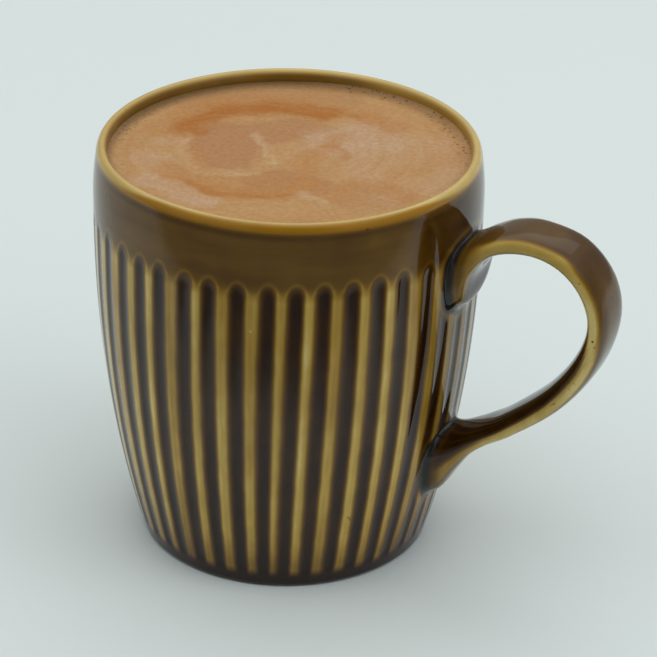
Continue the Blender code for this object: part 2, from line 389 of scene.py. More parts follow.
def makeGlaze(settings, spots, roundMark):
    material, tree, shader = newMaterial("brown_glaze")
    place = addNode(tree, "TexCoord").outputs["Object"]
    depth, lip, pale, poolAndSheen, bare = [attributeOf(tree, name) for name in glazeLayers]

    # fine streaks run down the ribs and round the band, with broad clouds over both
    (ribScale, down), (bandScale, along) = settings["ribStreaks"], settings["bandStreaks"]
    upright = addNode(tree, "Mapping", {"Vector": place, "Scale": (1.0, 1.0, down)}).outputs["Vector"]
    level = addNode(tree, "Mapping", {"Vector": place, "Scale": (along, along, 1.0)}).outputs["Vector"]
    height = addNode(tree, "SeparateXYZ", {"Vector": place}).outputs["Z"]
    band = rangeNode(tree, height, *settings["bandFrom"], kind='LINEAR')
    onRibs, onBand = noiseNode(tree, upright, ribScale, 3.0), noiseNode(tree, level, bandScale, 3.0)
    streaks = addNode(tree, "Mix", {"Factor": band, "A": onRibs, "B": onBand}).outputs["Result"]
    clouds = noiseNode(tree, place, *settings["clouds"])
    wander = maths(tree, 'SUBTRACT', maths(tree, 'ADD', streaks, clouds), 1.0)
    uneven = maths(tree, 'MULTIPLY_ADD', wander, settings["unevenness"], depth)
    colour = colourRamp(tree, uneven, settings["stops"])

    # honey on the lip, with the painted highlight along its crest
    honey = blendColours(tree, pale, settings["honeyLip"], settings["paleHoneyHighlight"])
    shade = greyOf(tree, maths(tree, 'MULTIPLY_ADD', clouds, 0.36, 0.82))
    colour = blendColours(tree, lip, colour, blendColours(tree, 1.0, honey, shade, 'MULTIPLY'))
    # pooled glaze, near black with its painted bluish reflection
    colour = blendColours(tree, poolAndSheen, colour, settings["poolAndSheen"])
    holes = maths(tree, 'MULTIPLY', placeSpots(tree, spots, place, *settings["pinholes"]), 0.75)
    holes = maths(tree, 'MAXIMUM', holes, placeMarks(tree, roundMark, place, pits))
    colour = blendColours(tree, holes, colour, settings["pit"])
    # the painted glint on a pit
    colour = blendColours(tree, placeMarks(tree, roundMark, place, paintedGlints), colour, settings["glint"])
    colour = blendColours(tree, bare, colour, settings["clay"])
    tree.links.new(colour, shader.inputs["Base Color"])

    rough = maths(tree, 'MULTIPLY_ADD', clouds, 0.03, settings["roughness"])
    rough = maths(tree, 'MULTIPLY_ADD', bare, 0.7, rough)
    tree.links.new(rough, shader.inputs["Roughness"])
    shader.inputs["IOR"].default_value = settings["ior"]
    swell = noiseNode(tree, place, *settings["swell"])
    addBump(tree, shader, maths(tree, 'MULTIPLY_ADD', holes, -0.35, swell), *settings["bump"])
    return material


spotsGroup = makeSpotsGroup()
glazeMaterial = makeGlaze(glaze, spotsGroup, makeRoundMarkGroup())


mugBody = {
    "height": 0.0894,
    "bellyRadius": 0.0410,
    "bellyHeight": 0.0787,
    "footRadius": 0.0310,
    "fullness": 2.3,
    "shoulderTuck": 0.00108,
    "footChamfer": 0.0006,
    "footRing": 0.0020,  # the foot is bare clay from this far inside its edge
    "wall": 0.0040,
    "floor": 0.0060,
    "floorFillet": 0.0050,
    "cupHeights": (0.0870, 0.0866, 0.0860, 0.0845, 0.0790, 0.0690, 0.0580, 0.0440, 0.0300, 0.0190),
    "lipBase": 0.0874,
    "lipThickness": 0.0029,
    "lipSteps": 14,
    "unevenFrom": (0.072, 0.086),  # heights where the rim starts to stray and where it strays fully
    "dent": 0.0006,  # how far the rim leans in at one place, as a hand-turned one does
    "dentAt": -97.0,
    "dentWidth": 26.0,
    "sideThinning": 0.17,  # share of the lip's thickness that is missing at its two sides
    "thickAt": -65.0,
}

flutes = {
    "count": 43,
    "depth": 0.00022,
    "width": 0.645,  # of one pitch
    "top": 0.0763,
    "arch": 0.0030,
    "foot": 0.0032,
    "fade": 0.0022,
    "phase": -62.55,
    "lean": 0.034,  # degrees for each millimetre up
    "leanMiddle": 0.050,
    "leanEnd": 0.078,  # the columns of points lean no further above it
    "evenFrom": (0.0768, 0.0808),  # heights between which the columns settle to even places
    "shiftHeights": (0.012, 0.068),  # near the foot and near the top, where the values of fluteShifts hold
    "wander": 0.35,
    "widthSpread": 0.03,
    "waviness": 0.016,
    "topSpread": 0.0003,
    "leftSlope": 0.95,  # share of the half width that the soft left flank takes
    "rightSlope": 0.70,
    "seed": 43,
}

# the grooves in front are counted from the one that faces the camera: degrees that each is off its
# even place, near the top and near the foot
fluteShifts = {
    -7: (0.89, 0.79), -6: (0.72, 0.72), -5: (0.05, 0.05), -4: (0.68, 0.38),
    -3: (0.01, 0.41), -2: (0.23, 0.73), -1: (0.56, 0.66), 0: (0.09, -0.21),
    1: (-0.48, -0.38), 2: (-0.45, 0.05), 3: (-0.73, 0.37), 4: (-1.10, 0.40),
}

# how much deeper the glaze lies on the ribs after these grooves, near the top, in the middle and near the foot
ribTones = {
    -7: (-0.02, -0.02, -0.02), -6: (-0.11, -0.06, -0.03), -5: (0.10, 0.10, 0.13), -4: (-0.05, 0.02, -0.02),
    -3: (0.06, -0.03, -0.03), -2: (0.06, 0.08, -0.04), -1: (0.02, 0.03, 0.03), 0: (-0.08, -0.05, -0.04),
    1: (0.07, 0.03, 0.05), 2: (-0.01, 0.02, -0.02), 3: (-0.04, -0.04, 0.01), 4: (0.10, -0.02, -0.01),
}

# places of the columns: across a groove from its left edge (-1) to its right edge (1), then across the rib
grooveColumns = (-1.0, -0.84, -0.64, -0.40, -0.12, 0.18, 0.44, 0.66, 0.84, 1.0)
ribColumns = (0.10, 0.26, 0.42, 0.58, 0.74, 0.90)


def outerRadius(z):
    b = mugBody
    if z < b["bellyHeight"]:
        narrowing = (1 - z / b["bellyHeight"]) ** b["fullness"]
        return b["bellyRadius"] - (b["bellyRadius"] - b["footRadius"]) * narrowing
    rise = (z - b["bellyHeight"]) / (b["height"] - b["bellyHeight"])
    return b["bellyRadius"] - b["shoulderTuck"] * rise ** 2


def cupRadius(z):
    b = mugBody
    side = outerRadius(z) - b["wall"]
    if z < b["bellyHeight"]:
        return side
    blend = (z - b["bellyHeight"]) / (b["lipBase"] - b["bellyHeight"])
    return side + (b["wall"] - b["lipThickness"]) * blend


def rimShape(angle, z):
    # how far the rim leans in, and how much thinner it is there
    b = mugBody
    height = eased(z, *b["unevenFrom"])
    away = (math.degrees(angle) - b["dentAt"] + 180) % 360 - 180
    side = abs(math.sin(angle - math.radians(b["thickAt"])))
    lean = b["dent"] * math.exp(-(away / b["dentWidth"]) ** 2) * height
    return lean, b["sideThinning"] * eased(side, 0.45, 0.95) * height


def rimPlace(angle, radius, z):
    lean, thinner = rimShape(angle, z)
    return radius - lean + thinner * min(outerRadius(z) - radius, mugBody["lipThickness"])


def evenRadius(angle, radius, z):
    # undoes rimPlace
    lean, thinner = rimShape(angle, z)
    inward = outerRadius(z) - radius - lean
    return outerRadius(z) - min(inward / (1 - thinner), inward + thinner * mugBody["lipThickness"])


def outsideHeights():
    # stretches of even steps, fine ones at the foot, in the arches and under the lip
    f = flutes
    marks = ((mugBody["footChamfer"], 0.0007), (f["foot"] - 0.0008, 0.0004),
             (f["foot"] + f["fade"] + 0.0004, 0.0024), (f["top"] - f["arch"] - 0.0014, 0.00032),
             (f["top"] + 0.0016, 0.0011), (mugBody["lipBase"] - 0.0020, 0.0005), (mugBody["lipBase"], 0.0))
    heights = []
    for (start, step), (end, _) in zip(marks, marks[1:]):
        count = max(1, round((end - start) / step))
        heights += [start + (end - start) * i / count for i in range(count)]
    return heights


def mugProfile():
    b = mugBody
    foot = outerRadius(0)
    points = [(0.0, 0.0), (foot * 0.5, 0.0), (foot - b["footRing"], 0.0), (foot - b["footChamfer"], 0.0)]
    points += [(outerRadius(z), z) for z in outsideHeights()]
    middle = outerRadius(b["lipBase"]) - b["lipThickness"] / 2
    for step in range(b["lipSteps"] + 1):
        turn = math.pi * step / b["lipSteps"]
        points.append((middle + b["lipThickness"] / 2 * math.cos(turn),
                       b["lipBase"] + (b["height"] - b["lipBase"]) * math.sin(turn)))
    points += [(cupRadius(z), z) for z in b["cupHeights"]]
    corner = b["floor"] + b["floorFillet"]
    for degrees in (0, 30, 60, 90):
        turn = math.radians(degrees)
        points.append((cupRadius(corner) - b["floorFillet"] * (1 - math.cos(turn)),
                       corner - b["floorFillet"] * math.sin(turn)))
    points.append((0.0, b["floor"]))
    return points


def fluteTable():
    hand = random.Random(flutes["seed"])
    table = []
    for flute in range(flutes["count"]):
        near = flute if flute <= max(fluteShifts) else flute - flutes["count"]
        wander = hand.uniform(-1, 1) * flutes["wander"]
        shifts = fluteShifts.get(near, (wander, wander))
        table.append({
            "shiftTop": math.radians(shifts[0]),
            "shiftFoot": math.radians(shifts[1]),
            "width": 1 + hand.uniform(-1, 1) * flutes["widthSpread"],
            "top": flutes["top"] + hand.uniform(-1, 1) * flutes["topSpread"],
            "ribTones": ribTones.get(near, (hand.uniform(-0.05, 0.05),) * 3),
            "phase": hand.uniform(0, 6.28),
        })
    return table


fluteRows = fluteTable()
pitch = 2 * math.pi / flutes["count"]
columnsPerFlute = len(grooveColumns) + len(ribColumns)


def leanAt(z):
    return math.radians(flutes["lean"]) / 0.001 * (z - flutes["leanMiddle"])


def grooveMiddle(flute, z):
    row = fluteRows[flute % flutes["count"]]
    low, high = flutes["shiftHeights"]
    shift = mixed(row["shiftFoot"], row["shiftTop"], (z - low) / (high - low))
    return math.radians(flutes["phase"]) + flute * pitch + shift + leanAt(z)


def grooveHalf(flute, z):
    # half the width of a groove, a little wavy and narrower towards its arch
    row = fluteRows[flute % flutes["count"]]
    wave = math.sin(z * 620 + row["phase"]) + 0.6 * math.sin(z * 1310 + row["phase"] * 2.3)
    narrowing = 0.06 * eased(z, 0.056, 0.072)
    return pitch * flutes["width"] / 2 * row["width"] * (1 + wave * flutes["waviness"] - narrowing)


def columnAngle(column, z):
    flute, place = divmod(column, columnsPerFlute)
    fromMiddle = (place - (len(grooveColumns) - 1) / 2) / columnsPerFlute
    evenAngle = math.radians(flutes["phase"]) + (flute + fromMiddle) * pitch + leanAt(flutes["leanEnd"])
    leaning = min(z, flutes["leanEnd"])
    if place < len(grooveColumns):
        angle = grooveMiddle(flute, leaning) + grooveColumns[place] * grooveHalf(flute, z)
    else:
        left = grooveMiddle(flute, leaning) + grooveHalf(flute, z)
        right = grooveMiddle(flute + 1, leaning) - grooveHalf(flute + 1, z)
        angle = mixed(left, right, ribColumns[place - len(grooveColumns)])
    return mixed(angle, evenAngle, eased(z, *flutes["evenFrom"]))


def grooveNear(angle, z):
    # the grooves on the left and on the right of a place, each as (place across it in half widths,
    # climb into its arch, row)
    f = flutes
    flute = round((angle - math.radians(f["phase"]) - leanAt(z)) / pitch) % f["count"]
    found = []
    for near in (flute - 1, flute, flute + 1):
        offset = (angle - grooveMiddle(near, z) + math.pi) % (2 * math.pi) - math.pi
        top = fluteRows[near % f["count"]]["top"]
        climb = max((z - (top - f["arch"])) / f["arch"], 0.0)
        found.append((offset / grooveHalf(near, z), climb, near % f["count"]))
    left = min((item for item in found if item[0] >= 0), key=lambda item: item[0])
    right = max((item for item in found if item[0] < 0), key=lambda item: item[0])
    return left, right


def grooveDepth(angle, z):
    f = flutes
    across, climb, _ = min(grooveNear(angle, z), key=lambda item: abs(item[0]))
    slope = mixed(f["leftSlope"], f["rightSlope"], min(max((across + 1) / 2, 0.0), 1.0))
    slope = mixed(slope, f["rightSlope"], min(climb, 1.0))
    return eased(math.hypot(across, climb), 1, 1 - slope) * eased(z, f["foot"], f["foot"] + f["fade"])


def turnedBody():
    outsideRows = 4 + len(outsideHeights())

    def place(column, radius, z, row):
        # the columns inside the cup are even ones
        outside = row < outsideRows
        angle = columnAngle(column, z if outside else mugBody["height"])
        if outside and z > 0:
            radius -= flutes["depth"] * grooveDepth(angle, z)
        return rimPlace(angle, radius, z), angle, z

    return rolledForm(mugProfile(), columnsPerFlute * flutes["count"], place)



strap = {
    "thickness": 0.0049,
    "halfWidth": 0.0065,
    "squareness": 3.0,
    "innerSquareness": 2.25,  # of the half that faces the hole
    "bendCentre": (0.0564, 0.0644),
    "bendRadii": (0.0151, 0.0154),
    "bendBulge": ((90, 0.0), (60, 0.0003), (30, 0.0003), (0, 0.0)),  # degrees round, outer face's extra reach
    "sides": 40,
    "steps": 6,
    "filletReach": 0.0030,
    "filletRounds": 24,
    "filletEdge": 0.0008,  # longest edge left near the seam
}


def strapStations():
    # sections from the pad on the band to the lower joint: outer (x, z), inner (x, z), half width, taper
    half = strap["halfWidth"]
    stations = [
        ((0.0388, 0.0760), (0.0388, 0.0602), 0.0086, 0.0),
        ((0.0422, 0.0772), (0.0429, 0.0634), 0.0084, 0.0),
        ((0.0460, 0.0795), (0.0441, 0.0700), 0.0076, 0.0),
        ((0.0506, 0.0815), (0.0483, 0.0755), 0.0069, 0.0),
    ]
    for degrees, bulge in strap["bendBulge"]:
        turn = math.radians(degrees)
        rim = []
        for offset in (strap["thickness"] / 2 + bulge, -strap["thickness"] / 2):
            rim.append((strap["bendCentre"][0] + (strap["bendRadii"][0] + offset) * math.cos(turn),
                        strap["bendCentre"][1] + (strap["bendRadii"][1] + offset) * math.sin(turn)))
        stations.append((rim[0], rim[1], half, 0.0))
    stations += [
        ((0.0712, 0.0537), (0.0663, 0.0560), half, 0.0),
        ((0.0643, 0.0437), (0.0603, 0.0473), half, 0.0),
        ((0.0545, 0.0354), (0.0515, 0.0391), half, 0.0),
        ((0.0489, 0.0317), (0.0466, 0.0356), 0.0066, 0.04),
        ((0.0448, 0.0280), (0.0430, 0.0335), 0.0068, 0.08),
        ((0.0413, 0.0230), (0.0400, 0.0322), 0.0072, 0.14),
        ((0.0378, 0.0175), (0.0370, 0.0320), 0.0074, 0.22),
        ((0.0340, 0.0150), (0.0340, 0.0320), 0.0073, 0.22),
    ]
    return [(*outer, *inner, width, taper) for outer, inner, width, taper in stations]


def between(stations, steps):
    # a smooth curve through the stations
    padded = [stations[0]] + stations + [stations[-1]]
    result = []
    for before, start, end, after in zip(padded, padded[1:], padded[2:], padded[3:]):
        for step in range(steps):
            t = step / steps
            weights = (-t ** 3 + 2 * t ** 2 - t, 3 * t ** 3 - 5 * t ** 2 + 2,
                       -3 * t ** 3 + 4 * t ** 2 + t, t ** 3 - t ** 2)
            rows = zip(before, start, end, after)
            result.append([sum(w * v for w, v in zip(weights, row)) / 2 for row in rows])
    result.append(list(stations[-1]))
    return result


def ovalPoint(angle):
    across, through = math.cos(angle), math.sin(angle)
    power = strap["squareness"] if through > 0 else strap["innerSquareness"]
    return (math.copysign(abs(across) ** (2 / power), across),
            math.copysign(abs(through) ** (2 / power), through))


def placeSection(ring, turnLayer, station):
    outerX, outerZ, innerX, innerZ, width, taper = station
    for vert in ring:
        across, through = ovalPoint(vert[turnLayer])
        share = (1 + through) / 2
        y = across * width * (1 - taper * through)
        vert.co = (mixed(innerX, outerX, share), y, mixed(innerZ, outerZ, share))


def strapForm():
    # one ring is drawn, then extruded from station to station; its points are also listed, each as
    # (place, across, through, how far the outer face looks up)
    shape = bmesh.new()
    turnLayer = shape.verts.layers.float.new("turn")
    bmesh.ops.create_circle(shape, segments=strap["sides"], radius=1.0, cap_ends=False)
    for vert in shape.verts:
        vert[turnLayer] = math.atan2(vert.co.y, vert.co.x)
    ring, edges = list(shape.verts), list(shape.edges)
    firstEdges = edges
    marks = []
    for index, station in enumerate(between(strapStations(), strap["steps"])):
        if index:
            grown = bmesh.ops.extrude_edge_only(shape, edges=edges)["geom"]
            ring = [item for item in grown if isinstance(item, bmesh.types.BMVert)]
            edges = [item for item in grown if isinstance(item, bmesh.types.BMEdge)]
            edges = [edge for edge in edges if all(vert in ring for vert in edge.verts)]
        placeSection(ring, turnLayer, station)
        outward = Vector((station[0] - station[2], 0.0, station[1] - station[3])).normalized()
        for vert in ring:
            marks.append((vert.co.copy(), *ovalPoint(vert[turnLayer]), outward.z))
    bmesh.ops.contextual_create(shape, geom=firstEdges)
    bmesh.ops.contextual_create(shape, geom=edges)
    bmesh.ops.recalc_face_normals(shape, faces=shape.faces)
    return shape, marks


def joinForms(bodyShape, strapShape):
    # fuses the strap to the body; the strap's faces keep material index 1 so that the seam can be found
    for face in strapShape.faces:
        face.material_index = 1
    blank = [bpy.data.materials.new("bodySide"), bpy.data.materials.new("strapSide")]
    body, handle = newSolid("bodyForm", bodyShape, *blank), newSolid("strapForm", strapShape, *blank)
    union = body.modifiers.new("union", 'BOOLEAN')
    union.operation = 'UNION'
    union.solver = 'MANIFOLD'
    union.object = handle
    seen = body.evaluated_get(bpy.context.evaluated_depsgraph_get())
    result = bmesh.new()
    result.from_mesh(seen.to_mesh())
    for piece in (body, handle):
        bpy.data.meshes.remove(piece.data, do_unlink=True)
    for material in blank:
        bpy.data.materials.remove(material, do_unlink=True)
    return result


def treeOf(points):
    tree = kdtree.KDTree(len(points))
    for index, point in enumerate(points):
        tree.insert(point, index)
    tree.balance()
    return tree


def middleOf(edge):
    return (edge.verts[0].co + edge.verts[1].co) / 2


def seamPoints(shape):
    points = []
    for edge in shape.edges:
        if len({face.material_index for face in edge.link_faces}) > 1:
            points += [middleOf(edge), edge.verts[0].co.copy()]
    return points


def roundSeam(shape):
    # softens the seam between strap and wall into a fillet, as slip and glaze fill it
    tree = treeOf(seamPoints(shape))
    reach = strap["filletReach"]
    for _ in range(3):
        long = [edge for edge in shape.edges if edge.calc_length() > strap["filletEdge"]
                and tree.find(middleOf(edge))[2] < reach * 1.8]
        if not long:
            break
        bmesh.ops.subdivide_edges(shape, edges=long, cuts=1, use_grid_fill=True)
    bmesh.ops.triangulate(shape, faces=[face for face in shape.faces if len(face.verts) > 4])
    near = [(vert, tree.find(vert.co)[2]) for vert in shape.verts]
    near = [(vert, distance) for vert, distance in near if distance < reach]
    for step in range(strap["filletRounds"]):
        limit = reach * (1 - 0.5 * step / strap["filletRounds"])
        chosen = [vert for vert, distance in near if distance < limit]
        bmesh.ops.smooth_vert(shape, verts=chosen, factor=0.5,
                              use_axis_x=True, use_axis_y=True, use_axis_z=True)
    return tree


# glaze depths of the body's parts, from thin and honey-coloured (0) to pooled and near black (1)
wallTones = {
    "band": 0.60,
    "rib": 0.14,
    "ribMiddle": 0.05,  # how much deeper the glaze lies along a rib's middle
    "ribMiddleAt": 1.55,  # in half widths of a groove
    "ribByHeight": ((0.006, 0.20), (0.008, 0.14), (0.012, 0.06), (0.020, 0.0), (0.028, -0.05), (0.036, -0.05),
                    (0.050, 0.0)),
    "toneHeights": (0.022, 0.044, 0.068),  # where the low, middle and high values of ribTones hold
    "bandFrom": (0.0722, 0.0767),  # heights where the ribs' tone starts and ends going over to the band's
    "shadeBesideHandle": 0.20,  # painted shade beside the handle, where it keeps light and bright reflections off the band: the glaze tone is this much deeper there
    "handleShadeReach": (28.5, 19.5),  # degrees from the handle where that starts and where it is full
    # painted shade beside the handle on the ribs below the band, and where it starts and is full
    "ribShadeBesideHandle": 0.17,
    "ribsHandleShadeReach": (28, 20),
    "groove": 0.94,
    "grooveFrom": (0.006, 0.036),
    "foot": 1.0,
    "footTo": (0.0022, 0.0050),
    "inside": 0.50,
    "insideLit": 0.31,  # where the cup's wall catches the light, on the handle's side
    "archLine": 0.17,  # a pale line over each arch, this much thinner
    "archLineAt": (1.20, 0.17),  # its middle and its width, in half widths of a groove
    "lipEdge": 0.70,
    "lipEdgeFrom": (0.0857, 0.0867),
    # how far rib tone (0) has gone over to groove tone (1), by half widths from the groove's middle
    "leftFlank": ((0.25, 1.0), (0.44, 0.96), (0.67, 0.80), (0.89, 0.53), (1.03, 0.36), (1.15, 0.20),
                  (1.28, 0.07), (1.50, 0.0)),
    "rightFlank": ((0.40, 1.0), (0.58, 0.88), (0.67, 0.75), (0.78, 0.52), (0.89, 0.34), (1.0, 0.14),
                   (1.14, 0.0)),
}

# the strap's glaze: brown on its outer face, with a painted dark reflection over the bend, darker on the inner
# one, and honey where it ran thin along the sides; the tables go by how far the outer face looks up, from -1
# to 1
strapTones = {
    "face": 0.70,
    # a painted dark reflection on the outer face over the bend, given as a deeper glaze tone
    "bendDarkReflection": 0.79,
    "lowerSide": 0.96,  # on the side that faces the hole, below the bend
    "innerFace": 0.92,
    "corner": 0.48,
    "thin": ((-0.8, 0.07), (-0.3, 0.02), (0.2, 0.0), (0.7, 0.10), (1.0, 0.19)),
    "thinAtJoints": 0.32,
    "jointFrom": (0.052, 0.043),  # along X, where the lower joint's tones start and where they are full
    "padFrom": (0.0475, 0.0445),
    "bendFrom": ((0.0600, 0.0660), (0.0580, 0.0640)),  # along X and up
    # honey lies between these places, from the inner (-1) to the outer face (1)
    "honeyFrom": ((-0.8, -0.12), (-0.6, -0.08), (-0.4, -0.04), (-0.15, -0.36), (0.15, -0.56), (0.45, -0.74),
                  (1.0, -0.50)),
    "honeyTo": ((-0.5, 1.6), (-0.25, 0.75), (-0.1, 0.55), (0.15, 0.48), (0.45, 0.48), (0.75, 0.54),
                (0.9, 0.86), (1.0, 0.82)),
}

# the lip's honey and the painted highlight on its crest, by degrees of turn over the lip from outside to
# inside
lipTones = {
    "honeyOutside": (-12, 26),
    "honeyInside": (154, 114),
    "crestFrom": 52,  # in front and behind
    "crestFromAtSides": 8,
    "sides": (0.62, 0.92),  # sine of the angle from the lip's thickest place
    "crestWidth": 30,
    "crestInside": (100, 140),
    "insideLoss": 0.45,  # share of the crest that is lost there
    "leftLoss": 0.2,
    "frontLoss": 0.25,
    "front": (43, 13),  # degrees from the front where that starts and where it is full
}

# glaze at the seam between strap and wall; the pairs are distances from the seam
seamTones = {
    "poolOnStrap": (0.0023, 0.0004),  # where pooled glaze starts and where it is full
    "poolOnWall": (0.0013, 0.0002),
    "pooled": 0.95,
    "strapLeast": 0.70,  # glaze on the strap is no thinner than this beside the seam
    "strapFree": (0.0014, 0.0044),  # where that starts to end and has ended
    "line": 0.36,  # a thin pale line lies round the pool
    "lineAt": (0.0019, 0.0006),  # its middle and its width
    "lineAtPad": 0.7,
    "lineAtJoint": 0.3,
    "padAbove": 0.055,
}


def flankTone(across, climb):
    edge = math.hypot(across, climb)
    left, right = readTable(edge, wallTones["leftFlank"]), readTable(edge, wallTones["rightFlank"])
    if climb > 0:
        return mixed(left, right, (across / edge + 1) / 2)
    return right if across > 0 else left


def wallGlaze(angle, z, radius):
    # glaze depth on the turned body
    t = wallTones
    if z > mugBody["lipBase"] or radius < outerRadius(min(z, mugBody["lipBase"])) - 0.4 * mugBody["wall"]:
        return mixed(t["inside"], t["insideLit"], eased(abs(math.degrees(angle) - 50), 62, 22))
    near = grooveNear(angle, z)
    fromGroove, _, row = near[0]
    high, middle, low = fluteRows[row]["ribTones"]
    rib = t["rib"] + np.interp(z, t["toneHeights"], (low, middle, high)) + readTable(z, t["ribByHeight"])
    rib += t["ribMiddle"] * eased(abs(fromGroove - t["ribMiddleAt"]), 0.35, 0)
    fromHandle = abs(math.degrees(angle))
    # painted shade beside the handle, on the ribs and on the band
    rib += t["ribShadeBesideHandle"] * eased(fromHandle, *t["ribsHandleShadeReach"])
    band = t["band"] + t["shadeBesideHandle"] * eased(fromHandle, *t["handleShadeReach"])
    rib = mixed(rib, band, eased(z, *t["bandFrom"]))
    lineMiddle, lineWidth = t["archLineAt"]
    for across, climb, _ in near:
        if climb > 0:
            line = math.exp(-((math.hypot(across, climb) - lineMiddle) / lineWidth) ** 2)
            rib -= t["archLine"] * line * eased(climb, 0, 0.6)
    groove = mixed(1.0, t["groove"], eased(z, *t["grooveFrom"]))
    depth = mixed(rib, groove, max(flankTone(across, climb) for across, climb, _ in near))
    depth = mixed(t["foot"], depth, eased(z, *t["footTo"]))
    return mixed(depth, t["lipEdge"], eased(z, *t["lipEdgeFrom"]))


def lipGlaze(radius, z, side):
    # how much honey there is, and how much painted highlight on the pale crest
    b, t = mugBody, lipTones
    if z < b["lipBase"] - 0.0008:
        return 0.0, 0.0
    middle = outerRadius(b["lipBase"]) - b["lipThickness"] / 2
    across = (radius - middle) / (b["lipThickness"] / 2)
    climb = (z - b["lipBase"]) / (b["height"] - b["lipBase"])
    turn = math.degrees(math.atan2(climb, across))
    crestStart = mixed(t["crestFrom"], t["crestFromAtSides"], eased(abs(side), *t["sides"]))
    crest = eased(turn, crestStart, crestStart + t["crestWidth"])
    crest *= 1 - t["insideLoss"] * eased(turn, *t["crestInside"])
    crest *= 1 - t["leftLoss"] * eased(side, -0.5, -0.9)
    return eased(turn, *t["honeyOutside"]) * eased(turn, *t["honeyInside"]), crest


def strapGlaze(mark):
    # glaze depth on the strap at one of its marks
    t = strapTones
    place, across, through, outward = mark
    joint = eased(place.x, *t["jointFrom"]) * (outward < 0)
    pad = eased(place.x, *t["padFrom"]) * (outward > 0.5) * (across < 0)
    low = mixed(mixed(readTable(outward, t["honeyFrom"]), 0.10, joint), -1.15, pad)
    high = readTable(outward, t["honeyTo"])
    side = mixed(0.74, 0.60, pad)
    honey = eased(abs(across), side, side + 0.20)
    honey *= eased(through, low - 0.18, low + 0.18) * eased(through, high + 0.30, high - 0.30)
    alongFrom, upFrom = t["bendFrom"]
    onBend = eased(place.x, *alongFrom) * eased(place.z, *upFrom)
    # the outer face over the bend gets the painted dark reflection
    depth = mixed(t["face"], t["bendDarkReflection"], onBend * eased(outward, 0.4, 0.7))
    if outward < -0.2:
        depth = mixed(depth, t["lowerSide"], eased(through, 0.25, -0.15))
    if through < 0:
        depth = mixed(depth, t["innerFace"], eased(through, 0, -0.6))
    else:
        corner = eased(across, 0.70, 0.90) * eased(through, 0.5, 0.8) * eased(outward, 0.6, 0.9)
        depth = mixed(depth, t["corner"], corner)
    thin = mixed(readTable(outward, t["thin"]), t["thinAtJoints"], max(joint, pad))
    return mixed(depth, thin, honey)


def paintGlaze(shape, seamTree, marks):
    t = seamTones
    lineMiddle, lineWidth = t["lineAt"]
    layers = [shape.verts.layers.float.new(name) for name in glazeLayers]
    strapTree = treeOf([mark[0] for mark in marks])
    onStrap = set()
    for face in shape.faces:
        if face.material_index == 1:
            onStrap.update(vert.index for vert in face.verts)
        face.material_index = 0
    for vert in shape.verts:
        z = vert.co.z
        angle = math.atan2(vert.co.y, vert.co.x)
        radius = evenRadius(angle, math.hypot(vert.co.x, vert.co.y), z)
        fromSeam = seamTree.find(vert.co)[2]
        honey, crest = 0.0, 0.0
        if vert.index in onStrap:
            near = strapTree.find_n(vert.co, 4)
            weights = [1 / (distance + 1e-5) for _, _, distance in near]
            depth = sum(w * strapGlaze(marks[index]) for w, (_, index, _) in zip(weights, near)) / sum(weights)
            depth = mixed(max(depth, t["strapLeast"]), depth, eased(fromSeam, *t["strapFree"]))
            poolAndSheen = eased(fromSeam, *t["poolOnStrap"])
        else:
            depth = wallGlaze(angle, z, radius)
            honey, crest = lipGlaze(radius, z, math.sin(angle - math.radians(mugBody["thickAt"])))
            poolAndSheen = eased(fromSeam, *t["poolOnWall"])
        line = math.exp(-((fromSeam - lineMiddle) / lineWidth) ** 2)
        line *= t["lineAtPad"] if z > t["padAbove"] else t["lineAtJoint"]
        depth = mixed(mixed(depth, min(depth, t["line"]), line), t["pooled"], poolAndSheen)
        fromFront = abs((math.degrees(angle) + 90 - cameraSettings["azimuth"] + 180) % 360 - 180)
        crest *= 1 - lipTones["frontLoss"] * eased(fromFront, *lipTones["front"])
        bare = float(z < 0.00005 and radius < mugBody["footRadius"] - 0.75 * mugBody["footRing"])
        for layer, value in zip(layers, (depth, honey, crest, poolAndSheen, bare)):
            vert[layer] = value


def makeMug():
    body = turnedBody()
    form, marks = strapForm()
    shape = joinForms(body, form)
    seamTree = roundSeam(shape)
    shape.verts.index_update()
    shape.normal_update()
    paintGlaze(shape, seamTree, marks)
    mug = finishPiece("stonewareMug", shape, glazeMaterial)
    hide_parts("mug")
    print("mug:", len(mug.data.polygons), "faces")


makeMug()


# the tables go by direction in degrees, with 0 to the right of the view and 90 to its back
drink = {
    "level": 0.0868,
    "meniscusRise": ((-180, 0.35), (-30, 0.35), (10, 0.5), (30, 0.8), (60, 0.75), (90, 0.2),
                     (180, 0.35)),  # in mm
    "meniscusWidth": 0.0012,
    "meniscusSteps": 5,
    "intoWall": 0.0001,
    "gap": 0.0003,  # kept below the level between the drink and the cup
    "columns": 420,
    "ringStep": 0.00028,
}

